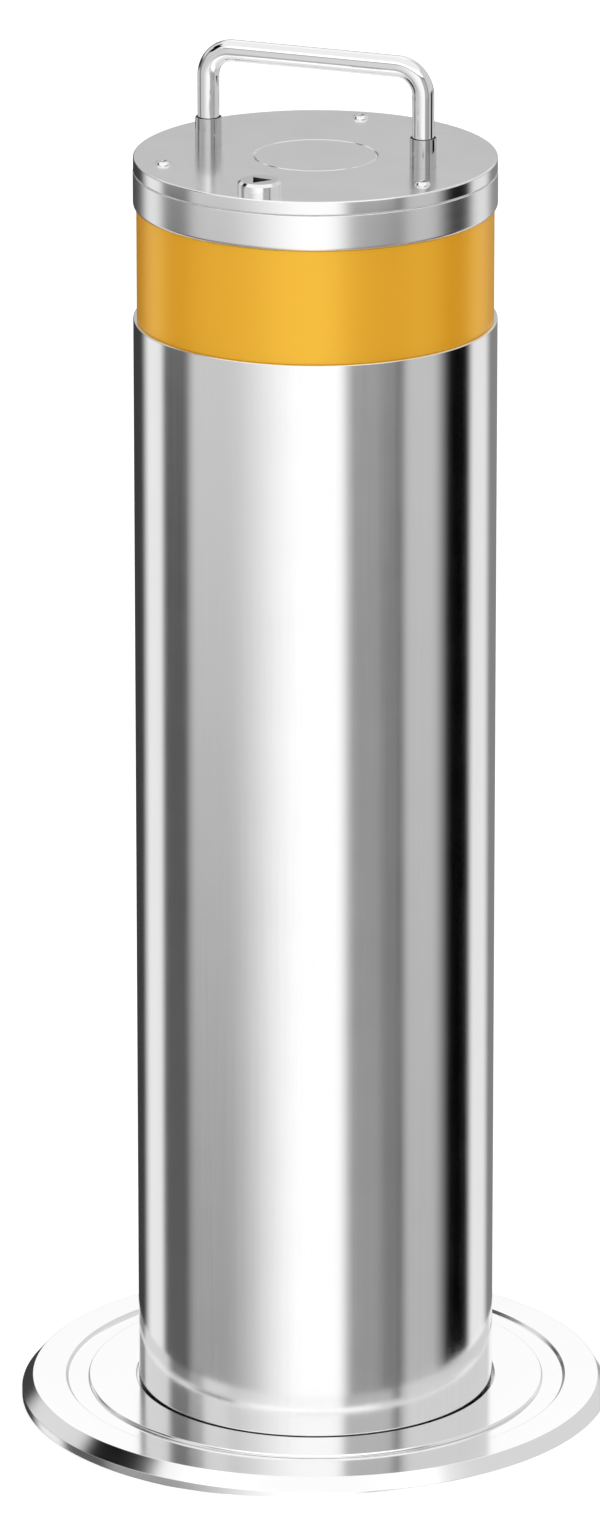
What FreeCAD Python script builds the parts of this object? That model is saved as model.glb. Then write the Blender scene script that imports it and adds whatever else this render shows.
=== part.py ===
import FreeCAD, Part
import math
import os
import re
import Sketcher

# Removable bollard. A round steel post drops over a short spigot that stands on a round floor
# flange. A triangular key in the lid turns a long spindle, whose tongue swings through a window
# in the spigot and holds the post down. The handle slides in two sleeves in the lid.
# Millimetres, +Z up, the origin at the centre of the flange's underside, the handle along X.

# Driving dimensions: alias, value, meaning

FLANGE_SIZES = [
    ("rim_width", 21.05, "width of the flange's rim outside the channel"),
    ("flange_height", 10, "thickness of the floor flange"),
    ("flange_bevel_width", 5.2, "width of the bevel round the flange"),
    ("flange_bevel_height", 6, "height of the bevel round the flange"),
    ("channel_width", 9.3, "width of the channel's floor round the cover ring"),
    ("channel_depth", 1.6, "depth of the channel and thickness of the cover ring"),
    ("channel_slope", 0.95, "width of the sloping walls of the channel"),
    ("seat_height", 4, "height of the seat that the post stands on"),
    ("seat_gap", 0.4, "gap between the post's bore and the seat's inner wall"),
    ("cover_width", 21.85, "width of the cover ring outside its lip"),
    ("cover_gap", 1.2, "gap between the post and the cover ring"),
    ("cover_lip", 1.5, "thickness of the cover ring's turned down lip"),
    ("anchor_inset", 10.15, "distance of an anchor hole's axis from the cover ring's lip"),
    ("anchor_hole_radius", 5.5, "radius of an anchor hole"),
    ("anchor_head_radius", 9.6, "radius of an anchor hole's countersink"),
    ("anchor_count", 4, "number of anchor holes"),
    ("anchor_angle", 45, "angle of the first anchor hole"),
    ("assembly_gap", 0.05, "gap between fixed pieces that fit in one another"),
]

SPIGOT_SIZES = [
    ("latch_room", 27.15, "room for the spindle between the spigot and the post's bore"),
    ("spigot_wall", 4, "wall of the spigot"),
    ("spigot_lift", 1, "height of the spigot's foot above the ground"),
    ("spigot_length", 103, "length of the spigot"),
    ("spigot_lead", 2, "bevel at the spigot's top edge"),
    ("window_width", 36, "width of the latch window"),
    ("window_height", 9, "height of the latch window"),
]

POST_SIZES = [
    ("post_radius", 84.15, "outer radius of the post tube"),
    ("post_wall", 3, "wall of the post tube"),
    ("tube_length", 528.1, "length of the post tube"),
    ("tube_bevel", 0.5, "bevel on the post tube's edges"),
    ("neck_wall", 2, "wall of the neck tube"),
    ("neck_overlap", 32, "length of the neck tube inside the post tube"),
    ("band_height", 53.4, "height of the reflective band"),
    ("band_recess", 1.65, "how far the band lies behind the post's surface"),
    ("cap_height", 16.8, "height of the cap ring"),
    ("cap_recess", 0.1, "how far the cap ring lies behind the post's surface"),
    ("cap_round", 2, "rounding of the cap ring's lower edge"),
    ("gasket_height", 0.6, "thickness of the lid gasket"),
    ("gasket_recess", 0.95, "how far the gasket lies behind the post's surface"),
    ("plate_height", 6, "thickness of the top plate"),
    ("plate_recess", 0.25, "how far the plate's rim lies behind the post's surface"),
    ("plate_round", 0.7, "rounding of the top plate's rim"),
    ("circle_radius", 28.4, "radius of the circle cut into the top plate"),
    ("circle_width", 1.1, "width of the cut circle"),
    ("circle_depth", 0.5, "depth of the cut circle"),
    ("guide_height", 8, "thickness of a guide plate"),
    ("lower_guide_lift", 7.5, "height of the lower guide plate above the post's foot"),
    ("upper_guide_lift", 84, "height of the upper guide plate above the post's foot"),
    ("glide_gap", 0.4, "gap between the spigot and a glide ring"),
    ("glide_wall", 3.6, "wall of a glide ring"),
    ("glide_flange_width", 2, "width of a glide ring's flange"),
    ("glide_flange_height", 1.5, "thickness of a glide ring's flange"),
]

LID_SIZES = [
    ("screw_inset", 7.6, "distance of a lid screw's axis from the neck's bore"),
    ("screw_angle", 94.5, "angle of the first lid screw"),
    ("screw_count", 3, "number of lid screws"),
    ("screw_radius", 2, "radius of a lid screw's shank"),
    ("screw_length", 14, "length of a lid screw's shank"),
    ("screw_head_radius", 3.6, "radius of a lid screw's head"),
    ("screw_head_height", 1.5, "height of a lid screw's head"),
    ("screw_head_rim", 0.35, "height of the straight rim of a lid screw's head"),
    ("screw_key_width", 2.5, "width across flats of a lid screw's socket"),
    ("screw_key_depth", 1, "depth of a lid screw's socket"),
    ("lug_width", 14, "width of a screw lug"),
    ("lug_depth", 13.5, "radial depth of a screw lug"),
    ("lug_height", 12, "height of a screw lug"),
]

HANDLE_SIZES = [
    ("handle_reach", 53, "distance of a handle leg from the post's axis"),
    ("handle_radius", 5, "radius of the handle rod"),
    ("handle_rise", 45.8, "height of the grip's centre line above the lid"),
    ("handle_bend", 12.5, "bend radius of the rod's centre line"),
    ("sleeve_radius", 6.1, "outer radius of a handle sleeve"),
    ("sleeve_above", 13.4, "height of a sleeve above the lid"),
    ("sleeve_below", 16, "length of a sleeve under the lid"),
    ("sleeve_gap", 0.08, "running gap between the rod and its sleeve"),
    ("sleeve_mouth_width", 0.8, "width of the open mouth round the rod"),
    ("sleeve_mouth_depth", 2.5, "depth of the open mouth round the rod"),
    ("nut_width", 18, "width across flats of a sleeve nut"),
    ("nut_height", 6, "height of a sleeve nut"),
    ("collar_radius", 8, "radius of a stop collar"),
    ("collar_height", 8, "height of a stop collar"),
    ("collar_gap", 0.3, "gap between a raised collar and its sleeve"),
    ("rod_tail", 3, "length of the rod below a collar"),
    ("pin_radius", 1.5, "radius of every cross pin"),
]

LOCK_SIZES = [
    ("lock_inset", 10.3, "distance of the lock's axis from the neck's bore"),
    ("key_head_radius", 10, "radius of the key plug's head"),
    ("key_head_height", 5.2, "height of the key plug's head"),
    ("key_head_bevel", 1.3, "bevel on the key plug's head"),
    ("key_socket_radius", 5.9, "radius to the corners of the triangular socket"),
    ("key_socket_depth", 8, "depth of the triangular socket"),
    ("key_socket_angle", 21.6, "direction of the socket's first corner"),
    ("plug_radius", 6.8, "radius of the key plug's shank"),
    ("running_gap", 0.08, "running gap between a turning piece and its bush"),
    ("plug_bush_wall", 1.1, "wall of the lock bush"),
    ("plug_bush_flange_radius", 9.8, "radius of the lock bush's flange"),
    ("plug_bush_flange_height", 2, "thickness of the lock bush's flange"),
    ("circlip_height", 1, "thickness of the circlip"),
    ("circlip_width", 2.4, "radial width of the circlip"),
    ("circlip_groove", 0.7, "depth of the circlip's groove"),
    ("circlip_gap", 0.2, "end play above the circlip"),
    ("circlip_opening", 40, "angle of the circlip's opening"),
    ("plug_shoulder", 4, "length of the plug's full shank below the circlip"),
    ("spindle_radius", 5, "radius of the spindle"),
    ("spindle_foot_lift", 8, "height of the spindle's foot above the post's foot"),
    ("coupling_wall", 3.2, "wall of the spindle coupling"),
    ("coupling_length", 40, "length of the spindle coupling"),
    ("spindle_bush_wall", 1.9, "wall of a spindle bush"),
    ("spindle_bush_flange_width", 1.4, "width of a spindle bush's flange"),
    ("spindle_bush_flange_height", 1.5, "thickness of a spindle bush's flange"),
    ("latch_lift", 54, "height of the tongue's middle above the post's foot"),
    ("latch_height", 5, "thickness of the tongue"),
    ("latch_width", 12, "width of the tongue"),
    ("latch_reach", 22, "reach of the tongue from the spindle's axis"),
    ("latch_tip_bevel", 2, "bevel at the tongue's tip"),
    ("latch_hub_radius", 9, "radius of the tongue's hub"),
    ("latch_hub_height", 14, "height of the tongue's hub"),
]

ALL_SIZES = FLANGE_SIZES + SPIGOT_SIZES + POST_SIZES + LID_SIZES + HANDLE_SIZES + LOCK_SIZES
ALIASES = {alias for alias, size, meaning in ALL_SIZES}

# Places and radii that follow from the driving dimensions, measured from the ground

LAND_HEIGHT = "(flange_height - channel_depth)"
TUBE_TOP = "(seat_height + tube_length)"
BAND_TOP = f"({TUBE_TOP} + band_height)"
CAP_TOP = f"({BAND_TOP} + cap_height)"
PLATE_FOOT = f"({CAP_TOP} + gasket_height)"
PLATE_TOP = f"({PLATE_FOOT} + plate_height)"
LOWER_GUIDE = "(seat_height + lower_guide_lift)"
UPPER_GUIDE = "(seat_height + upper_guide_lift)"

TUBE_BORE = "(post_radius - post_wall)"
NECK_RADIUS = f"({TUBE_BORE} - assembly_gap)"
NECK_BORE = f"({NECK_RADIUS} - neck_wall)"
LIP_BORE = "(post_radius + cover_gap)"
LIP_RADIUS = f"({LIP_BORE} + cover_lip)"
COVER_RADIUS = f"({LIP_RADIUS} + cover_width)"
CHANNEL_RADIUS = f"({COVER_RADIUS} + channel_width)"
FLANGE_RADIUS = f"({CHANNEL_RADIUS} + channel_slope + rim_width)"
ANCHOR_PITCH = f"({LIP_RADIUS} + anchor_inset)"
SPIGOT_RADIUS = f"({TUBE_BORE} - latch_room)"
SPIGOT_BORE = f"({SPIGOT_RADIUS} - spigot_wall)"
SCREW_PITCH = f"({NECK_BORE} - screw_inset)"
LOCK_PITCH = f"({NECK_BORE} - lock_inset)"
LOCK_Y = f"-{LOCK_PITCH}"
GLIDE_BORE = f"({SPIGOT_RADIUS} + glide_gap)"
GLIDE_RADIUS = f"({GLIDE_BORE} + glide_wall)"

SLEEVE_FOOT = f"({PLATE_FOOT} - sleeve_below)"
SLEEVE_TOP = f"({PLATE_TOP} + sleeve_above)"
SLEEVE_BORE = "(handle_radius + sleeve_gap)"
COLLAR_FOOT = f"({SLEEVE_FOOT} - collar_gap - collar_height)"
ROD_FOOT = f"({COLLAR_FOOT} - rod_tail)"
GRIP_HEIGHT = f"({PLATE_TOP} + handle_rise)"

PLUG_BUSH_RADIUS = "(plug_radius + running_gap + plug_bush_wall)"
PLUG_BUSH_FOOT = f"({PLATE_FOOT} - plug_bush_flange_height)"
CIRCLIP_FOOT = f"({PLUG_BUSH_FOOT} - circlip_gap - circlip_height)"
SHANK_FOOT = f"({CIRCLIP_FOOT} - plug_shoulder)"
COUPLING_FOOT = f"({SHANK_FOOT} - coupling_length)"
COUPLING_MIDDLE = f"({SHANK_FOOT} - coupling_length / 2)"
SPINDLE_FOOT = "(seat_height + spindle_foot_lift)"
SPINDLE_BUSH_RADIUS = "(spindle_radius + running_gap + spindle_bush_wall)"
LATCH_MIDDLE = "(seat_height + latch_lift)"
LATCH_FOOT = f"({LATCH_MIDDLE} - latch_height / 2)"
LATCH_PIN = f"({LATCH_FOOT} + (latch_height + latch_hub_height) / 2)"
PIN_HOLE = "(pin_radius + assembly_gap)"

os.makedirs("parts", exist_ok=True)
doc = FreeCAD.newDocument("RemovableBollard")
sheet = doc.addObject("Spreadsheet::Sheet", "Sizes")
for row, (alias, size, meaning) in enumerate(ALL_SIZES, start=1):
    sheet.set(f"A{row}", meaning)
    sheet.set(f"B{row}", str(size))
    sheet.setAlias(f"B{row}", alias)
doc.recompute()


# Building blocks

def in_sheet(text):
    """The expression with each alias written as a cell of the sheet."""
    return re.sub(r"[a-z_]+", lambda word: "Sizes." + word[0] if word[0] in ALIASES else word[0], text)


def value(text):
    """The expression's present value as a plain number."""
    return float(sheet.evalExpression(in_sheet(text)))


def tie(thing, path, text):
    """Bind one property of an object to an expression on the sheet."""
    thing.setExpression(path, in_sheet(text))


def new_body(label, x="0", y="0", z="0", turn="0"):
    """A sub-part of its own, placed by expressions."""
    body = doc.addObject("PartDesign::Body", label)
    body.Label = label
    body.Placement = FreeCAD.Placement(FreeCAD.Vector(), FreeCAD.Rotation(FreeCAD.Vector(0, 0, 1), 1))
    tie(body, "Placement.Base.x", x)
    tie(body, "Placement.Base.y", y)
    tie(body, "Placement.Base.z", z)
    tie(body, "Placement.Rotation.Angle", turn)
    return body


def origin_feature(body, role):
    """One of the body's own origin planes or axes."""
    return next(item for item in body.Origin.OriginFeatures if item.Role == role)


def new_sketch(body, name, plane, x="0", y="0", away="0"):
    """A sketch on an origin plane, shifted in the plane and along its normal."""
    sketch = body.newObject("Sketcher::SketchObject", name)
    sketch.AttachmentSupport = (origin_feature(body, plane), [""])
    sketch.MapMode = "FlatFace"
    tie(sketch, "AttachmentOffset.Base.x", x)
    tie(sketch, "AttachmentOffset.Base.y", y)
    tie(sketch, "AttachmentOffset.Base.z", away)
    return sketch


def hold(sketch, kind, element, point, text):
    """Hold a point of the sketch at a distance from its origin, bound to the sheet."""
    index = sketch.addConstraint(Sketcher.Constraint(kind, -1, 1, element, point, value(text)))
    tie(sketch, f"Constraints[{index}]", text)


def arc(x, y, radius, start, end):
    """A circular arc that runs anticlockwise between two angles in degrees."""
    circle = Part.Circle(FreeCAD.Vector(x, y, 0), FreeCAD.Vector(0, 0, 1), radius)
    return Part.ArcOfCircle(circle, math.radians(start), math.radians(end))


def dome_arc(low, high):
    """The arc from one point up to another whose centre lies on the upright line x = 0."""
    middle = (low.x ** 2 - high.x ** 2 + low.y ** 2 - high.y ** 2) / (2 * (low.y - high.y))
    start = math.degrees(math.atan2(low.y - middle, low.x))
    end = math.degrees(math.atan2(high.y - middle, high.x))
    return arc(0, middle, math.hypot(low.x, low.y - middle), start, end)


def draw_outline(sketch, points, dome=None):
    """A closed outline through points given as expressions.

    The runs are straight, apart from the one that starts at the point numbered dome.
    """
    corners = [FreeCAD.Vector(value(across), value(up), 0) for across, up in points]
    for index, corner in enumerate(corners):
        following = corners[(index + 1) % len(corners)]
        run = dome_arc(corner, following) if index == dome else Part.LineSegment(corner, following)
        sketch.addGeometry(run, False)
    for index, (across, up) in enumerate(points):
        sketch.addConstraint(Sketcher.Constraint("Coincident", index, 2, (index + 1) % len(points), 1))
        hold(sketch, "DistanceX", index, 1, across)
        hold(sketch, "DistanceY", index, 1, up)
    if dome is not None:
        hold(sketch, "DistanceX", dome, 3, "0")


def draw_circle(sketch, radius, x="0", y="0"):
    """A circle whose centre and radius are bound to the sheet."""
    centre = FreeCAD.Vector(value(x), value(y), 0)
    circle = Part.Circle(centre, FreeCAD.Vector(0, 0, 1), value(radius))
    element = sketch.addGeometry(circle, False)
    hold(sketch, "DistanceX", element, 3, x)
    hold(sketch, "DistanceY", element, 3, y)
    index = sketch.addConstraint(Sketcher.Constraint("Radius", element, value(radius)))
    tie(sketch, f"Constraints[{index}]", radius)


def turn_section(body, points, x="0", angle="360", dome=None):
    """Turn a half section about the upright line at x."""
    section = new_sketch(body, "section", "XZ_Plane", x=x)
    draw_outline(section, points, dome)
    turned = body.newObject("PartDesign::Revolution", "turned")
    turned.Profile = section
    turned.ReferenceAxis = (section, ["V_Axis"])
    tie(turned, "Angle", angle)
    return turned


def pad(body, sketch, height):
    """Raise a sketch along its normal."""
    padded = body.newObject("PartDesign::Pad", "padded")
    padded.Profile = sketch
    tie(padded, "Length", height)
    return padded


def pocket(body, sketch, depth):
    """Sink a sketch against its normal, and see that it takes material away."""
    doc.recompute()
    before = body.Shape.Volume
    sunk = body.newObject("PartDesign::Pocket", "sunk")
    sunk.Profile = sketch
    tie(sunk, "Length", depth)
    doc.recompute()
    if body.Shape.Volume >= before:
        raise RuntimeError(body.Label + ": a pocket cuts nothing")
    return sunk


def drill(body, radius, top, depth, x="0", y="0"):
    """An upright hole of the given depth below the height top."""
    mouth = new_sketch(body, "mouth", "XY_Plane", away=top)
    draw_circle(mouth, radius, x, y)
    return pocket(body, mouth, depth)


def cross_drill(body, height, reach, x="0"):
    """A pin hole along Y, right through a piece whose radius is less than reach."""
    mouth = new_sketch(body, "cross_mouth", "XZ_Plane", away=reach)
    draw_circle(mouth, PIN_HOLE, x, height)
    return pocket(body, mouth, f"2 * ({reach})")


def repeat_round(body, features, count):
    """Repeat features evenly about the body's upright axis."""
    doc.recompute()
    pattern = body.newObject("PartDesign::PolarPattern", "repeated")
    pattern.Originals = features
    pattern.Axis = (origin_feature(body, "Z_Axis"), [""])
    pattern.Angle = 360
    tie(pattern, "Occurrences", count)
    body.Tip = pattern
    return pattern


def circle_edges(body, radius, height):
    """Names of the body's round edges with this radius at this height."""
    doc.recompute()
    names = []
    for number, edge in enumerate(body.Tip.Shape.Edges, start=1):
        curve = edge.Curve
        if not isinstance(curve, Part.Circle):
            continue
        if abs(curve.Radius - value(radius)) < 1e-4 and abs(edge.CenterOfMass.z - value(height)) < 1e-4:
            names.append(f"Edge{number}")
    if not names:
        raise RuntimeError(body.Label + ": no edge to dress")
    return names


def dress_edge(body, kind, size, radius, height):
    """Round or bevel the round edges at a radius and height; kind is Fillet or Chamfer."""
    names = circle_edges(body, radius, height)
    base = body.Tip
    dressed = body.newObject("PartDesign::" + kind, kind.lower())
    dressed.Base = (base, names)
    tie(dressed, "Radius" if kind == "Fillet" else "Size", size)
    return dressed


def tube_section(bore, radius, height):
    """The half section of a plain ring or tube that stands on its own origin."""
    return [(bore, "0"), (radius, "0"), (radius, height), (bore, height)]


# Floor flange and spigot

def build_base_flange():
    """Turned flange with a bevelled rim, a channel, the post's seat and the spigot's bore."""
    seat_inner = f"({TUBE_BORE} - seat_gap)"
    seat_outer = f"({LIP_RADIUS} + assembly_gap)"
    spigot_seat = f"({SPIGOT_RADIUS} + assembly_gap)"
    body = new_body("base_flange")
    turn_section(body, [
        (spigot_seat, "0"),
        (FLANGE_RADIUS, "0"),
        (FLANGE_RADIUS, "flange_height - flange_bevel_height"),
        (f"{FLANGE_RADIUS} - flange_bevel_width", "flange_height"),
        (f"{CHANNEL_RADIUS} + channel_slope", "flange_height"),
        (CHANNEL_RADIUS, LAND_HEIGHT),
        (seat_outer, LAND_HEIGHT),
        (seat_outer, "seat_height"),
        (seat_inner, "seat_height"),
        (seat_inner, LAND_HEIGHT),
        (spigot_seat, LAND_HEIGHT),
    ])
    x = f"{ANCHOR_PITCH} * cos(anchor_angle * 1deg)"
    y = f"{ANCHOR_PITCH} * sin(anchor_angle * 1deg)"
    hole = drill(body, "anchor_hole_radius", LAND_HEIGHT, LAND_HEIGHT, x, y)
    repeat_round(body, [hole], "anchor_count")
    countersink = "anchor_head_radius - anchor_hole_radius"
    dress_edge(body, "Chamfer", countersink, "anchor_hole_radius", LAND_HEIGHT)
    return body


def build_cover_ring():
    """Flat ring that hides the anchor screws, with a lip turned down into the seat."""
    land = f"({LAND_HEIGHT} - seat_height)"
    top = "(flange_height - seat_height)"
    body = new_body("cover_ring", z="seat_height")
    turn_section(body, [
        (LIP_BORE, "0"),
        (LIP_RADIUS, "0"),
        (LIP_RADIUS, land),
        (COVER_RADIUS, land),
        (f"{COVER_RADIUS} - channel_slope", top),
        (LIP_BORE, top),
    ])
    return body


def build_base_spigot():
    """Short tube that the post drops over, with a window for the latch."""
    body = new_body("base_spigot", z="spigot_lift")
    turn_section(body, [
        (SPIGOT_BORE, "0"),
        (SPIGOT_RADIUS, "0"),
        (SPIGOT_RADIUS, "spigot_length - spigot_lead"),
        (f"{SPIGOT_RADIUS} - spigot_lead", "spigot_length"),
        (SPIGOT_BORE, "spigot_length"),
    ])
    foot = f"({LATCH_MIDDLE} - spigot_lift - window_height / 2)"
    window = new_sketch(body, "window", "XZ_Plane", away=SPIGOT_RADIUS)
    draw_outline(window, [
        ("-window_width / 2", foot),
        ("window_width / 2", foot),
        ("window_width / 2", f"{foot} + window_height"),
        ("-window_width / 2", f"{foot} + window_height"),
    ])
    pocket(body, window, SPIGOT_RADIUS)
    return body


# Post

def build_post_tube():
    """Outer tube of the post, which stands on the flange's seat."""
    body = new_body("post_tube", z="seat_height")
    turn_section(body, [
        (TUBE_BORE, "0"),
        ("post_radius - tube_bevel", "0"),
        ("post_radius", "tube_bevel"),
        ("post_radius", "tube_length - tube_bevel"),
        ("post_radius - tube_bevel", "tube_length"),
        (TUBE_BORE, "tube_length"),
    ])
    return body


def build_neck_tube():
    """Inner tube that joins the post tube to the cap ring and carries the band."""
    body = new_body("neck_tube", z=f"{TUBE_TOP} - neck_overlap")
    turn_section(body, tube_section(NECK_BORE, NECK_RADIUS, "neck_overlap + band_height + cap_height"))
    return body


def build_reflective_band():
    """Sleeve of reflective film round the neck."""
    body = new_body("reflective_band", z=TUBE_TOP)
    turn_section(body, tube_section(TUBE_BORE, "post_radius - band_recess", "band_height"))
    return body


def build_cap_ring():
    """Ring above the band, with its lower edge rounded."""
    radius = "(post_radius - cap_recess)"
    body = new_body("cap_ring", z=BAND_TOP)
    turn_section(body, tube_section(TUBE_BORE, radius, "cap_height"))
    dress_edge(body, "Fillet", "cap_round", radius, "0")
    return body


def build_lid_gasket():
    """Flat rubber ring between the cap ring and the top plate."""
    radius = "(post_radius - gasket_recess)"
    body = new_body("lid_gasket", z=CAP_TOP)
    turn_section(body, tube_section(NECK_BORE, radius, "gasket_height"))
    return body


def build_top_plate():
    """Lid with a fine cut circle and holes for the handle, the lock and the screws."""
    radius = "(post_radius - plate_recess)"
    body = new_body("top_plate", z=PLATE_FOOT)
    turn_section(body, [
        ("0", "0"),
        (radius, "0"),
        (radius, "plate_height"),
        ("circle_radius + circle_width / 2", "plate_height"),
        ("circle_radius", "plate_height - circle_depth"),
        ("circle_radius - circle_width / 2", "plate_height"),
        ("0", "plate_height"),
    ])
    dress_edge(body, "Fillet", "plate_round", radius, "plate_height")
    sleeve_hole = "sleeve_radius + assembly_gap"
    for side in ("", "-"):
        drill(body, sleeve_hole, "plate_height", "plate_height", x=side + "handle_reach")
    drill(body, f"{PLUG_BUSH_RADIUS} + assembly_gap", "plate_height", "plate_height", y=LOCK_Y)
    x = f"{SCREW_PITCH} * cos(screw_angle * 1deg)"
    y = f"{SCREW_PITCH} * sin(screw_angle * 1deg)"
    screw_hole = drill(body, "screw_radius + assembly_gap", "plate_height", "plate_height", x, y)
    repeat_round(body, [screw_hole], "screw_count")
    return body


def build_lid_screws():
    """Button head screws that hold the lid, each with a hexagonal socket."""
    body = new_body("lid_screws", z=PLATE_TOP, turn="screw_angle")
    points = [
        ("0", "-screw_length"),
        ("screw_radius", "-screw_length"),
        ("screw_radius", "0"),
        ("screw_head_radius", "0"),
        ("screw_head_radius", "screw_head_rim"),
        ("screw_key_width", "screw_head_height"),
        ("0", "screw_head_height"),
    ]
    screw = turn_section(body, points, x=SCREW_PITCH, dome=4)
    socket = new_sketch(body, "socket", "XY_Plane", x=SCREW_PITCH, away="screw_head_height")
    draw_outline(socket, hexagon("screw_key_width"))
    recess = pocket(body, socket, "screw_key_depth")
    repeat_round(body, [screw, recess], "screw_count")
    return body


def hexagon(width):
    """Corners of a hexagon with the given width across its flats."""
    return [
        (f"{width} / sqrt(3) * cos({60 * corner}deg)", f"{width} / sqrt(3) * sin({60 * corner}deg)")
        for corner in range(6)
    ]


def build_lid_screw_lugs():
    """Threaded lugs inside the neck that take the lid screws."""
    outer = f"({NECK_BORE} - assembly_gap)"
    inner = f"({outer} - lug_depth)"
    half = "(lug_width / 2)"
    edge = f"sqrt({outer} ^ 2 - {half} ^ 2)"
    body = new_body("lid_screw_lugs", z=f"{CAP_TOP} - lug_height", turn="screw_angle")
    plan = new_sketch(body, "plan", "XY_Plane")
    low = FreeCAD.Vector(value(edge), -value(half), 0)
    high = FreeCAD.Vector(value(edge), value(half), 0)
    back_high = FreeCAD.Vector(value(inner), value(half), 0)
    back_low = FreeCAD.Vector(value(inner), -value(half), 0)
    middle = FreeCAD.Vector(value(outer), 0, 0)
    plan.addGeometry(Part.Arc(low, middle, high), False)
    plan.addGeometry(Part.LineSegment(high, back_high), False)
    plan.addGeometry(Part.LineSegment(back_high, back_low), False)
    plan.addGeometry(Part.LineSegment(back_low, low), False)
    for first, second in ((0, 1), (1, 2), (2, 3)):
        plan.addConstraint(Sketcher.Constraint("Coincident", first, 2, second, 1))
    plan.addConstraint(Sketcher.Constraint("Coincident", 3, 2, 0, 1))
    plan.addConstraint(Sketcher.Constraint("Coincident", 0, 3, -1, 1))
    hold(plan, "DistanceX", 1, 1, edge)
    hold(plan, "DistanceY", 1, 1, half)
    hold(plan, "DistanceX", 1, 2, inner)
    hold(plan, "DistanceY", 1, 2, half)
    hold(plan, "DistanceX", 3, 1, inner)
    hold(plan, "DistanceY", 3, 1, f"-{half}")
    hold(plan, "DistanceY", 3, 2, f"-{half}")
    block = pad(body, plan, "lug_height")
    hole = drill(body, "screw_radius + assembly_gap", "lug_height", "lug_height", x=SCREW_PITCH)
    repeat_round(body, [block, hole], "screw_count")
    return body


def build_guide(place, height):
    """Guide plate inside the post with its plastic glide ring and the spindle's bush."""
    spindle_hole = f"({SPINDLE_BUSH_RADIUS} + assembly_gap)"
    plate = new_body(place + "_guide_plate", z=height)
    turn_section(plate, tube_section(f"{GLIDE_RADIUS} + assembly_gap", NECK_RADIUS, "guide_height"))
    drill(plate, spindle_hole, "guide_height", "guide_height", y=LOCK_Y)

    ring = new_body(place + "_glide_ring", z=f"{height} - glide_flange_height")
    turn_section(ring, [
        (GLIDE_BORE, "0"),
        (f"{GLIDE_RADIUS} + glide_flange_width", "0"),
        (f"{GLIDE_RADIUS} + glide_flange_width", "glide_flange_height"),
        (GLIDE_RADIUS, "glide_flange_height"),
        (GLIDE_RADIUS, "glide_flange_height + guide_height"),
        (GLIDE_BORE, "glide_flange_height + guide_height"),
    ])

    bore = "(spindle_radius + running_gap)"
    flange = f"({SPINDLE_BUSH_RADIUS} + spindle_bush_flange_width)"
    bush = new_body(place + "_spindle_bush", y=LOCK_Y, z=height)
    turn_section(bush, [
        (bore, "0"),
        (SPINDLE_BUSH_RADIUS, "0"),
        (SPINDLE_BUSH_RADIUS, "guide_height"),
        (flange, "guide_height"),
        (flange, "guide_height + spindle_bush_flange_height"),
        (bore, "guide_height + spindle_bush_flange_height"),
    ])
    return [plate, ring, bush]


# Handle and its sleeves

def build_handle_sleeves():
    """The two sleeves that the handle slides in, each with an open mouth round the rod."""
    length = f"({SLEEVE_TOP} - {SLEEVE_FOOT})"
    mouth = "(handle_radius + sleeve_mouth_width)"
    sleeves = []
    for name, side in (("handle_sleeve_right", ""), ("handle_sleeve_left", "-")):
        body = new_body(name, x=side + "handle_reach", z=SLEEVE_FOOT)
        turn_section(body, [
            (SLEEVE_BORE, "0"),
            ("sleeve_radius", "0"),
            ("sleeve_radius", length),
            (mouth, length),
            (mouth, f"{length} - sleeve_mouth_depth"),
            (SLEEVE_BORE, f"{length} - sleeve_mouth_depth"),
        ])
        sleeves.append(body)
    return sleeves


def build_sleeve_nuts():
    """Hexagon nuts under the lid, one on each sleeve."""
    body = new_body("sleeve_nuts", z=f"{PLATE_FOOT} - nut_height")
    plan = new_sketch(body, "plan", "XY_Plane", x="handle_reach")
    draw_outline(plan, hexagon("nut_width"))
    block = pad(body, plan, "nut_height")
    hole = drill(body, "sleeve_radius + assembly_gap", "nut_height", "nut_height", x="handle_reach")
    repeat_round(body, [block, hole], "2")
    return body


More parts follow.
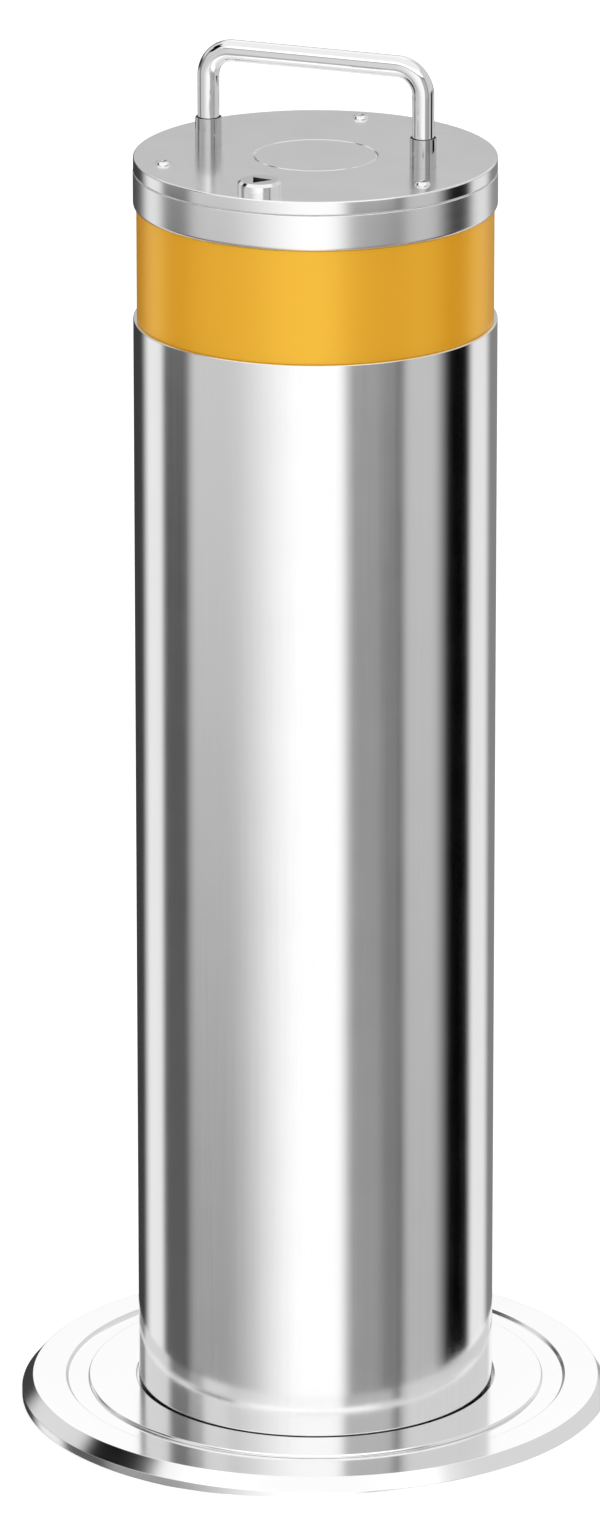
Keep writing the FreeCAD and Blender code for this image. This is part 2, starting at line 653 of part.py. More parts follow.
def build_handle_rod():
    """One round rod bent into a handle, with its legs long enough to slide."""
    foot = f"({ROD_FOOT} - {GRIP_HEIGHT})"
    body = new_body("handle_rod", z=GRIP_HEIGHT)
    reach = value("handle_reach")
    bend = value("handle_bend")
    low = value(foot)
    path = new_sketch(body, "path", "XZ_Plane")
    left_foot = FreeCAD.Vector(-reach, low, 0)
    left_bend = FreeCAD.Vector(-reach, -bend, 0)
    grip_left = FreeCAD.Vector(bend - reach, 0, 0)
    grip_right = FreeCAD.Vector(reach - bend, 0, 0)
    right_bend = FreeCAD.Vector(reach, -bend, 0)
    right_foot = FreeCAD.Vector(reach, low, 0)
    path.addGeometry(Part.LineSegment(left_foot, left_bend), False)
    path.addGeometry(arc(bend - reach, -bend, bend, 90, 180), False)
    path.addGeometry(Part.LineSegment(grip_left, grip_right), False)
    path.addGeometry(arc(reach - bend, -bend, bend, 0, 90), False)
    path.addGeometry(Part.LineSegment(right_bend, right_foot), False)
    path.addConstraint(Sketcher.Constraint("Tangent", 0, 2, 1, 2))
    path.addConstraint(Sketcher.Constraint("Tangent", 1, 1, 2, 1))
    path.addConstraint(Sketcher.Constraint("Tangent", 2, 2, 3, 2))
    path.addConstraint(Sketcher.Constraint("Tangent", 3, 1, 4, 1))
    path.addConstraint(Sketcher.Constraint("Vertical", 0))
    path.addConstraint(Sketcher.Constraint("Horizontal", 2))
    path.addConstraint(Sketcher.Constraint("Vertical", 4))
    path.addConstraint(Sketcher.Constraint("Equal", 1, 3))
    hold(path, "DistanceX", 0, 1, "-handle_reach")
    hold(path, "DistanceY", 0, 1, foot)
    hold(path, "DistanceY", 2, 1, "0")
    hold(path, "DistanceX", 4, 2, "handle_reach")
    hold(path, "DistanceY", 4, 2, foot)
    radius = path.addConstraint(Sketcher.Constraint("Radius", 1, bend))
    tie(path, f"Constraints[{radius}]", "handle_bend")
    section = new_sketch(body, "section", "XY_Plane", x="-handle_reach", away=foot)
    draw_circle(section, "handle_radius")
    rod = body.newObject("PartDesign::AdditivePipe", "rod")
    rod.Profile = section
    rod.Spine = (path, [])
    pin_height = f"{COLLAR_FOOT} + collar_height / 2 - {GRIP_HEIGHT}"
    for side in ("", "-"):
        cross_drill(body, pin_height, "handle_radius", x=side + "handle_reach")
    return body


def build_stop_collars():
    """Collars on the feet of the rod that stop it from being pulled out."""
    bore = "(handle_radius + assembly_gap)"
    body = new_body("handle_stop_collars", z=COLLAR_FOOT)
    collar = turn_section(body, tube_section(bore, "collar_radius", "collar_height"), x="handle_reach")
    hole = cross_drill(body, "collar_height / 2", "collar_radius", x="handle_reach")
    repeat_round(body, [collar, hole], "2")
    return body


def cross_pin(body, length, height, x="0"):
    """A pin along Y, centred on the body's axis plane."""
    end = new_sketch(body, "end", "XZ_Plane", away=f"-({length}) / 2")
    draw_circle(end, "pin_radius", x, height)
    return pad(body, end, length)


def build_collar_pins():
    """Cross pins that fix the collars to the rod."""
    body = new_body("collar_pins", z=COLLAR_FOOT)
    pin = cross_pin(body, "2 * collar_radius", "collar_height / 2", x="handle_reach")
    repeat_round(body, [pin], "2")
    return body


# Lock and latch

def build_lock_bush():
    """Flanged bush pressed into the lid from below, in which the key plug turns."""
    bore = "(plug_radius + running_gap)"
    body = new_body("lock_bush", y=LOCK_Y, z=PLUG_BUSH_FOOT)
    turn_section(body, [
        (bore, "0"),
        ("plug_bush_flange_radius", "0"),
        ("plug_bush_flange_radius", "plug_bush_flange_height"),
        (PLUG_BUSH_RADIUS, "plug_bush_flange_height"),
        (PLUG_BUSH_RADIUS, "plug_bush_flange_height + plate_height"),
        (bore, "plug_bush_flange_height + plate_height"),
    ])
    return body


def build_key_plug():
    """Turning plug with a bevelled head, a triangular socket and a stub for the coupling."""
    groove = "(plug_radius - circlip_groove)"
    stub_foot = f"({COUPLING_MIDDLE} + assembly_gap)"
    body = new_body("key_plug", y=LOCK_Y)
    turn_section(body, [
        ("0", stub_foot),
        ("spindle_radius", stub_foot),
        ("spindle_radius", SHANK_FOOT),
        ("plug_radius", SHANK_FOOT),
        ("plug_radius", f"{CIRCLIP_FOOT} - assembly_gap"),
        (groove, f"{CIRCLIP_FOOT} - assembly_gap"),
        (groove, f"{CIRCLIP_FOOT} + circlip_height + assembly_gap"),
        ("plug_radius", f"{CIRCLIP_FOOT} + circlip_height + assembly_gap"),
        ("plug_radius", PLATE_TOP),
        ("key_head_radius", PLATE_TOP),
        ("key_head_radius", f"{PLATE_TOP} + key_head_height - key_head_bevel"),
        ("key_head_radius - key_head_bevel", f"{PLATE_TOP} + key_head_height"),
        ("0", f"{PLATE_TOP} + key_head_height"),
    ])
    socket = new_sketch(body, "socket", "XY_Plane", away=f"{PLATE_TOP} + key_head_height")
    draw_outline(socket, [
        (f"key_socket_radius * cos(key_socket_angle * 1deg + {turn}deg)",
         f"key_socket_radius * sin(key_socket_angle * 1deg + {turn}deg)")
        for turn in (0, 120, 240)
    ])
    pocket(body, socket, "key_socket_depth")
    cross_drill(body, f"{SHANK_FOOT} - coupling_length / 4", "plug_radius")
    return body


def build_plug_circlip():
    """Open ring in the plug's groove, under the lock bush."""
    groove = "(plug_radius - circlip_groove + assembly_gap)"
    body = new_body("plug_circlip", y=LOCK_Y, z=CIRCLIP_FOOT)
    section = tube_section(groove, f"{groove} + circlip_width", "circlip_height")
    turn_section(body, section, angle="360 - circlip_opening")
    return body


def build_spindle_coupling():
    """Sleeve that joins the plug's stub to the spindle."""
    bore = "(spindle_radius + assembly_gap)"
    radius = f"({bore} + coupling_wall)"
    body = new_body("spindle_coupling", y=LOCK_Y, z=COUPLING_FOOT)
    turn_section(body, tube_section(bore, radius, "coupling_length"))
    for height in ("coupling_length / 4", "coupling_length * 3 / 4"):
        cross_drill(body, height, radius)
    return body


def build_coupling_pins():
    """The two cross pins of the coupling."""
    length = "2 * (spindle_radius + coupling_wall)"
    body = new_body("coupling_pins", y=LOCK_Y, z=COUPLING_FOOT)
    for height in ("coupling_length / 4", "coupling_length * 3 / 4"):
        cross_pin(body, length, height)
    return body


def build_lock_spindle():
    """Long round bar from the coupling down to the lower guide."""
    top = f"({COUPLING_MIDDLE} - assembly_gap - {SPINDLE_FOOT})"
    body = new_body("lock_spindle", y=LOCK_Y, z=SPINDLE_FOOT)
    turn_section(body, [("0", "0"), ("spindle_radius", "0"), ("spindle_radius", top), ("0", top)])
    cross_drill(body, f"{COUPLING_FOOT} + coupling_length / 4 - {SPINDLE_FOOT}", "spindle_radius")
    cross_drill(body, f"{LATCH_PIN} - {SPINDLE_FOOT}", "spindle_radius")
    return body


def build_latch_tongue():
    """Hub and tongue on the spindle; at rest the tongue lies along X, clear of the spigot."""
    half = "(latch_width / 2)"
    body = new_body("latch_tongue", y=LOCK_Y, z=LATCH_FOOT)
    turn_section(body, tube_section("0", "latch_hub_radius", "latch_hub_height"))
    plan = new_sketch(body, "plan", "XY_Plane")
    draw_outline(plan, [
        ("0", f"-{half}"),
        ("latch_reach - latch_tip_bevel", f"-{half}"),
        ("latch_reach", f"latch_tip_bevel - {half}"),
        ("latch_reach", f"{half} - latch_tip_bevel"),
        ("latch_reach - latch_tip_bevel", half),
        ("0", half),
    ])
    pad(body, plan, "latch_height")
    drill(body, "spindle_radius + assembly_gap", "latch_hub_height", "latch_hub_height")
    cross_drill(body, f"{LATCH_PIN} - {LATCH_FOOT}", "latch_hub_radius")
    return body


def build_latch_pin():
    """Cross pin that fixes the tongue's hub to the spindle."""
    body = new_body("latch_pin", y=LOCK_Y, z=LATCH_PIN)
    cross_pin(body, "2 * latch_hub_radius", "0")
    return body


# Assembly

sub_parts = [build_base_flange(), build_cover_ring(), build_base_spigot()]
sub_parts += [build_post_tube(), build_neck_tube(), build_reflective_band(), build_cap_ring()]
sub_parts += [build_lid_gasket(), build_top_plate(), build_lid_screws(), build_lid_screw_lugs()]
sub_parts += build_guide("lower", LOWER_GUIDE)
sub_parts += build_guide("upper", UPPER_GUIDE)
sub_parts += build_handle_sleeves()
sub_parts += [build_sleeve_nuts(), build_handle_rod(), build_stop_collars(), build_collar_pins()]
sub_parts += [build_lock_bush(), build_key_plug(), build_plug_circlip(), build_spindle_coupling()]
sub_parts += [build_coupling_pins(), build_lock_spindle(), build_latch_tongue(), build_latch_pin()]
doc.recompute()

for thing in doc.Objects:
    if "Invalid" in thing.State or "Error" in thing.State:
        raise RuntimeError(f"{thing.Name} of {thing.Label} did not recompute: {thing.State}")
for body in sub_parts:
    if body.Shape.isNull() or not body.Shape.isValid() or not body.Shape.Solids:
        raise RuntimeError(f"{body.Label} has no sound shape")
for body in sub_parts:
    body.Shape.exportStep(f"parts/{body.Label}.step")
    print(f"{body.Label}: {len(body.Shape.Solids)} solids, {body.Shape.Volume / 1000:.2f} cm3")
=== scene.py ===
"""Looks of a removable bollard: a polished steel post with an amber band, a lid with a sliding
handle and a triangular key lock, and the round floor flange that it stands on."""

import logging
import math
from dataclasses import dataclass
from enum import Enum
from typing import Iterable, Mapping, Sequence

import bmesh
import bpy
from mathutils import Matrix, Vector


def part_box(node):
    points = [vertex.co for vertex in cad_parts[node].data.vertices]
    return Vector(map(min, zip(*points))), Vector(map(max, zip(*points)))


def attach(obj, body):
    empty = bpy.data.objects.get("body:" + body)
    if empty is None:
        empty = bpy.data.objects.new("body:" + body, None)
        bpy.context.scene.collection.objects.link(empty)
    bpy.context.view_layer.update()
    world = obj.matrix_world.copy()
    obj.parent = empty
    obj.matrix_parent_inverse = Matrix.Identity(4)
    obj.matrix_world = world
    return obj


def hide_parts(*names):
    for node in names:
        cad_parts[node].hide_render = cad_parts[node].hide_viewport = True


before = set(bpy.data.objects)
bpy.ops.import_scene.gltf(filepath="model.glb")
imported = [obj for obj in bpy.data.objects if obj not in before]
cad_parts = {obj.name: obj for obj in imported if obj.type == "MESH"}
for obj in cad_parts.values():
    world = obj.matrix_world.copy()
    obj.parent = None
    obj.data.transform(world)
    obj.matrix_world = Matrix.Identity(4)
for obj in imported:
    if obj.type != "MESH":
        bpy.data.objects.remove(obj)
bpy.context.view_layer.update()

Place = tuple[float, float]

LOG = logging.getLogger("bollard")
MM = 0.001
TINY = 1e-9

# How many flats go round a large and a small turned piece, and how many runs make up a rounded edge
TURNS = 256
SMALL_TURNS = 96
EDGE_STEPS = 4
SHARP_EDGE = math.radians(32)

# How much the finer runs of a noise weigh
NOISE_ROUGHNESS = 0.55

# How far a drill stands out of what it goes through, and the length of the drill for cross pins
DRILL_EXCESS = 1.0 * MM
CROSS_DRILL = 20.0 * MM

# The camera stands this far to the right of the side that the lock is on
VIEW_AZIMUTH = math.radians(21.6)

# Where the handle's legs and the lock stand, from the post's axis
HANDLE_REACH = 53.0 * MM
LOCK_AXIS: Place = (0.0, -68.8 * MM)


class Body(Enum):
    """The bodies of the frame that pieces ride on."""

    BASE = "base"
    POST = "post"
    HANDLE = "handle"
    LOCK = "lock"


class Slot(Enum):
    """The record's material slots."""

    POLISHED = "polished_steel"
    SATIN = "satin_steel"
    RAW = "raw_steel"
    AMBER = "amber_film"
    RUBBER = "grey_rubber"
    NYLON = "white_nylon"
    BRONZE = "bush_bronze"


class Grain(Enum):
    """The way in which a metal surface was worked, along which its fine lines run."""

    UPRIGHT = "drawn along the piece"
    ROUND = "turned on a lathe"
    CROSSWAYS = "brushed from side to side"


# Node trees

@dataclass(frozen=True)
class Wire:
    """A value on its way between nodes; an expression on it adds the nodes that it needs."""

    bench: "Bench"
    socket: bpy.types.NodeSocket

    def _work(self, operation: str, *values: "Wire | float | Sequence[float]") -> "Wire":
        """Adds one operation, with Math for numbers and Vector Math for colours and vectors.

        Args:
            operation: the operation's name, which both kinds of node share.
            values: what it works on, in order.

        Returns:
            The result.
        """
        flat = all(
            value.socket.type == "VALUE" if isinstance(value, Wire) else isinstance(value, (int, float))
            for value in values
        )
        if flat:
            return self.bench.wire("ShaderNodeMath", {"operation": operation}, dict(enumerate(values)))
        spread = {
            index: (value,) * 3 if isinstance(value, (int, float)) else value
            for index, value in enumerate(values)
        }
        return self.bench.wire("ShaderNodeVectorMath", {"operation": operation}, spread)

    def __add__(self, other: "Wire | float | Sequence[float]") -> "Wire":
        """Sum."""
        return self._work("ADD", self, other)

    __radd__ = __add__

    def __sub__(self, other: "Wire | float | Sequence[float]") -> "Wire":
        """Difference."""
        return self._work("SUBTRACT", self, other)

    def __rsub__(self, other: "Wire | float | Sequence[float]") -> "Wire":
        """Difference, with the wire taken off the other value."""
        return self._work("SUBTRACT", other, self)

    def __mul__(self, other: "Wire | float | Sequence[float]") -> "Wire":
        """Product."""
        return self._work("MULTIPLY", self, other)

    __rmul__ = __mul__

    def __pow__(self, other: "Wire | float") -> "Wire":
        """Power."""
        return self._work("POWER", self, other)

    def __abs__(self) -> "Wire":
        """Size without sign."""
        return self._work("ABSOLUTE", self)

    def ramp(self, low: float, high: float) -> "Wire":
        """Rises smoothly from 0 at one value of the wire to 1 at another."""
        sockets = {"Value": self, "From Min": low, "From Max": high}
        return self.bench.wire("ShaderNodeMapRange", {"interpolation_type": "SMOOTHSTEP"}, sockets)

    def edge(self, middle: float, fade: float) -> "Wire":
        """Rises smoothly from 0 to 1 over a fade about a value of the wire."""
        return self.ramp(middle - fade / 2, middle + fade / 2)


class Bench:
    """A node tree, and the ways in which nodes are added to it."""

    def __init__(self, tree: bpy.types.NodeTree) -> None:
        """Clears the tree."""
        self.tree = tree
        tree.nodes.clear()

    def node(
        self,
        kind: str,
        settings: Mapping[str, object] | None = None,
        sockets: Mapping[int | str, object] | None = None,
    ) -> bpy.types.Node:
        """Adds a node.

        Args:
            kind: the node's type.
            settings: the node's own settings, which are set first.
            sockets: values, wires or nodes for its inputs, by name or number.

        Returns:
            The node.
        """
        made = self.tree.nodes.new(kind)
        for name, setting in (settings or {}).items():
            setattr(made, name, setting)
        for name, source in (sockets or {}).items():
            entry = made.inputs[name]
            if isinstance(source, Wire):
                self.tree.links.new(source.socket, entry)
            elif isinstance(source, bpy.types.Node):
                self.tree.links.new(source.outputs[0], entry)
            else:
                entry.default_value = source
        return made

    def wire(
        self,
        kind: str,
        settings: Mapping[str, object] | None = None,
        sockets: Mapping[int | str, object] | None = None,
        output: int | str = 0,
    ) -> Wire:
        """Adds a node as node() does and returns the wire from one of its outputs."""
        return Wire(self, self.node(kind, settings, sockets).outputs[output])

    def place(self) -> Wire:
        """The place on the piece, in metres from its own axis."""
        return self.wire("ShaderNodeTexCoord", output="Object")

    def parts(self, vector: Wire) -> tuple[Wire, Wire, Wire]:
        """The three coordinates of a vector."""
        split = self.node("ShaderNodeSeparateXYZ", sockets={0: vector})
        return tuple(Wire(self, split.outputs[axis]) for axis in range(3))

    def join(self, x: Wire | float, y: Wire | float, z: Wire | float) -> Wire:
        """A vector of three coordinates."""
        return self.wire("ShaderNodeCombineXYZ", sockets={0: x, 1: y, 2: z})

    def noise(self, place: Wire, detail: float = 2.0) -> Wire:
        """Smooth noise about 0.5, with features about one unit apart."""
        sockets = {"Vector": place, "Scale": 1.0, "Detail": detail, "Roughness": NOISE_ROUGHNESS}
        return self.wire("ShaderNodeTexNoise", sockets=sockets)

    def blend(self, share: Wire, first: object, second: object) -> Wire:
        """Mixes two colours, from the first at a share of 0 to the second at 1."""
        settings = {"data_type": "RGBA"}
        return self.wire("ShaderNodeMix", settings, {"Factor": share, 6: first, 7: second}, output=2)

    def bump(self, height: Wire, distance: float) -> Wire:
        """A normal tilted by a height from 0 to 1 that stands for a distance in metres."""
        return self.wire("ShaderNodeBump", sockets={"Height": height, "Distance": distance})

    def principled(self, sockets: Mapping[str, object]) -> bpy.types.Node:
        """A principled shader with these values and wires."""
        return self.node("ShaderNodeBsdfPrincipled", sockets=sockets)

    def surface(self, sockets: Mapping[str, object]) -> None:
        """Ends a material in one principled shader with these values and wires."""
        self.node("ShaderNodeOutputMaterial", sockets={"Surface": self.principled(sockets)})


# Finishes

@dataclass(frozen=True)
class Finish:
    """What every finish has: a name, and a way to paint its nodes."""

    name: str

    def paint(self, bench: Bench) -> None:
        """Adds the finish's nodes."""
        raise NotImplementedError


@dataclass(frozen=True)
class Metal(Finish):
    """Bare metal, with fine lines from its making and a slight mottle.

    The lines' pitch and depth and the size of the mottle are in metres. The lines are drawn out to
    some number of times their pitch, and the spreads say how much lines and mottle change the
    roughness and the tone.
    """

    colour: tuple[float, float, float] = (0.92, 0.92, 0.92)
    roughness: float = 0.15
    grain: Grain = Grain.UPRIGHT
    pitch: float = 1.2 * MM
    drawn_out: float = 60.0
    depth: float = 0.001 * MM
    mottle_size: float = 25.0 * MM
    line_spread: float = 0.05
    mottle_spread: float = 0.04
    tone_spread: float = 0.03

    def lines(self, bench: Bench, place: Wire) -> Wire:
        """Noise that is drawn out along the grain.

        Args:
            bench: the material's nodes.
            place: the place on the piece.

        Returns:
            A value about 0.5.
        """
        across = 1 / self.pitch
        along = across / self.drawn_out
        if self.grain is Grain.UPRIGHT:
            return bench.noise(place * (across, across, along))
        if self.grain is Grain.CROSSWAYS:
            return bench.noise(place * (along, across, across))
        x, y, z = bench.parts(place)
        radius = (x * x + y * y) ** 0.5
        return bench.noise(bench.join(radius * across, z * across, 0.0) + place * along)

    def paint(self, bench: Bench) -> None:
        """Adds the metal's nodes.

        Args:
            bench: the material's nodes.
        """
        place = bench.place()
        lines = self.lines(bench, place) - 0.5
        mottle = bench.noise(place * (1 / self.mottle_size), detail=3.0) - 0.5
        tone = 1 + lines * self.tone_spread + mottle * self.tone_spread
        bench.surface({
            "Base Color": bench.join(tone, tone, tone) * self.colour,
            "Metallic": 1.0,
            "Roughness": self.roughness + lines * self.line_spread + mottle * self.mottle_spread,
            "Normal": bench.bump(lines + 0.5, self.depth),
        })


@dataclass(frozen=True)
class Film(Finish):
    """Retroreflective film: a deep colour with a fine bead grain, and pale mirrored beads that shine
    through it.

    The colour drifts between two tones, and the spreads say how much the drift and the beads change
    the roughness.
    """

    colour: tuple[float, float, float] = (0.86, 0.330, 0.001)
    pale_colour: tuple[float, float, float] = (0.885, 0.345, 0.002)
    mirror_colour: tuple[float, float, float] = (1.0, 0.86, 0.14)
    mirror_share: float = 0.30
    mirror_roughness: float = 0.34
    mirror_spread: float = 0.05
    roughness: float = 0.30
    spread: float = 0.06
    specular: float = 0.12
    drift_scale: tuple[float, float, float] = (90.0, 90.0, 9.0)
    bead: float = 0.5 * MM
    bead_depth: float = 0.002 * MM

    def paint(self, bench: Bench) -> None:
        """Adds the film's nodes.

        Args:
            bench: the material's nodes.
        """
        place = bench.place()
        beads = bench.noise(place * (1 / self.bead), detail=1.0)
        drift = bench.noise(place * self.drift_scale, detail=2.0)
        grain = bench.bump(beads, self.bead_depth)
        body = bench.principled({
            "Base Color": bench.blend(drift, (*self.colour, 1.0), (*self.pale_colour, 1.0)),
            "Roughness": self.roughness + (drift - 0.5) * self.spread,
            "Specular IOR Level": self.specular,
            "Normal": grain,
        })
        mirror = bench.principled({
            "Base Color": (*self.mirror_colour, 1.0),
            "Roughness": self.mirror_roughness + (beads - 0.5) * self.mirror_spread,
            "Metallic": 1.0,
            "Normal": grain,
        })
        mixed = bench.node("ShaderNodeMixShader", sockets={0: self.mirror_share, 1: body, 2: mirror})
        bench.node("ShaderNodeOutputMaterial", sockets={"Surface": mixed})


@dataclass(frozen=True)
class Moulded(Finish):
    """Rubber or plastic with a fine matt skin and slightly cloudy colour."""

    colour: tuple[float, float, float]
    roughness: float = 0.6
    roughness_spread: float = 0.15
    skin: float = 0.4 * MM
    skin_depth: float = 0.01 * MM
    cloud_scale: float = 60.0
    tone_spread: float = 0.16

    def paint(self, bench: Bench) -> None:
        """Adds the nodes of the skin.

        Args:
            bench: the material's nodes.
        """
        place = bench.place()
        skin = bench.noise(place * (1 / self.skin), detail=3.0)
        cloud = bench.noise(place * self.cloud_scale, detail=2.0)
        tone = (1 - self.tone_spread / 2) + cloud * self.tone_spread
        bench.surface({
            "Base Color": bench.join(tone, tone, tone) * self.colour,
            "Roughness": self.roughness + (skin - 0.5) * self.roughness_spread,
            "Normal": bench.bump(skin, self.skin_depth),
        })


@dataclass(frozen=True)
class Ground(Finish):
    """A slightly cloudy matt floor, which shines a little so that it stays pale."""

    colour: tuple[float, float, float]
    roughness: float = 0.9
    glow: float = 0.40
    cloud_scale: float = 3.0
    tone_spread: float = 0.02

    def paint(self, bench: Bench) -> None:
        """Adds the floor's nodes.

        Args:
            bench: the material's nodes.
        """
        cloud = bench.noise(bench.place() * self.cloud_scale)
        tone = cloud * self.tone_spread + (1 - self.tone_spread / 2)
        bench.surface({
            "Base Color": bench.join(tone, tone, tone) * self.colour,
            "Roughness": self.roughness,
            "Specular IOR Level": 0.0,
            "Emission Color": (1.0, 1.0, 1.0, 1.0),
            "Emission Strength": self.glow,
        })


POLISHED_TUBE = Metal("polished_tube", roughness=0.13, pitch=1.6 * MM, tone_spread=0.06)
POLISHED_ROD = Metal("polished_rod", colour=(0.85,) * 3, roughness=0.07, grain=Grain.ROUND, pitch=0.8 * MM)
SLEEVE_STEEL = Metal("sleeve_steel", colour=(0.54,) * 3, roughness=0.09, grain=Grain.ROUND, pitch=0.6 * MM)
COLLAR_STEEL = Metal("collar_steel", colour=(0.96,) * 3, roughness=0.25, grain=Grain.ROUND, pitch=0.6 * MM)
LID_STEEL = Metal("lid_steel", colour=(0.90,) * 3, roughness=0.165, grain=Grain.CROSSWAYS, pitch=0.5 * MM)
FLANGE_STEEL = Metal("flange_steel", colour=(0.95,) * 3, roughness=0.14, grain=Grain.ROUND, pitch=0.7 * MM)
LOCK_STEEL = Metal("lock_steel", colour=(0.90,) * 3, roughness=0.11, grain=Grain.ROUND, pitch=0.5 * MM)
RAW_STEEL = Metal(
    "raw_steel", colour=(0.50, 0.50, 0.51), roughness=0.36, grain=Grain.ROUND, pitch=0.5 * MM,
    depth=0.006 * MM, line_spread=0.15, mottle_spread=0.25, tone_spread=0.20,
)
# Rough steel for the key socket's walls; its dark colour is painted shade for the shade that falls deep
# inside the socket
SHADED_SOCKET_STEEL = Metal(
    "socket_steel_painted_shade", colour=(0.24,) * 3, roughness=0.45, pitch=0.3 * MM,
    depth=0.006 * MM, line_spread=0.15, mottle_spread=0.20, tone_spread=0.20,
)
BRONZE = Metal(
    "bush_bronze", colour=(0.62, 0.43, 0.21), roughness=0.38, grain=Grain.ROUND, pitch=0.4 * MM,
    depth=0.006 * MM, line_spread=0.12, mottle_spread=0.20, tone_spread=0.18,
)
AMBER_FILM = Film("amber_film")
GREY_RUBBER = Moulded("grey_rubber", colour=(0.80, 0.80, 0.80), roughness=0.4)
WHITE_NYLON = Moulded("white_nylon", colour=(0.80, 0.79, 0.73), roughness=0.42)
PALE_FLOOR = Ground("pale_floor", colour=(0.86,) * 3)


# Shapes

@dataclass(frozen=True)
class Corner:
    """A corner of a turned section: its radius, its height, and the rounding that it is given."""

    radius: float
    height: float
    rounding: float = 0.0


def softened(corners: Sequence[Corner], steps: int = EDGE_STEPS) -> list[Place]:
    """Replaces the corners of a closed section that have a rounding by arcs.

    Args:
        corners: the section, in order.
        steps: how many runs make up an arc.

    Returns:
        The section's points, as radius and height.
    """
    points: list[Place] = []
    for index, corner in enumerate(corners):
        here = Vector((corner.radius, corner.height))
        if corner.rounding == 0:
            points.append(tuple(here))
            continue
        last, following = corners[index - 1], corners[(index + 1) % len(corners)]
        back = (Vector((last.radius, last.height)) - here).normalized()
        ahead = (Vector((following.radius, following.height)) - here).normalized()
        half = back.angle(ahead) / 2
        centre = here + (back + ahead).normalized() * corner.rounding / math.sin(half)
        reach = corner.rounding / math.tan(half)
        first, final = here + back * reach - centre, here + ahead * reach - centre
        start = math.atan2(first.y, first.x)
        sweep = math.remainder(math.atan2(final.y, final.x) - start, math.tau)
        for step in range(steps + 1):
            angle = start + sweep * step / steps
            points.append((centre.x + corner.rounding * math.cos(angle),
                           centre.y + corner.rounding * math.sin(angle)))
    return points


def ring_section(bore: float, radius: float, low: float, high: float, rounding: float) -> list[Corner]:
    """The section of a plain ring, with its outer edges rounded."""
    outer = [Corner(radius, low, rounding), Corner(radius, high, rounding)]
    return [Corner(bore, low), *outer, Corner(bore, high)]


def drill_section(radius: float, low: float, high: float) -> list[Corner]:
    """The section of a round bar or drill between two heights."""
    return [Corner(0.0, low), Corner(radius, low), Corner(radius, high), Corner(0.0, high)]


def polygon(sides: int, radius: float, turn: float = 0.0) -> list[Place]:
    """The corners of a regular polygon, the first one at an angle in radians."""
    angles = [turn + math.tau * side / sides for side in range(sides)]
    return [(radius * math.cos(angle), radius * math.sin(angle)) for angle in angles]


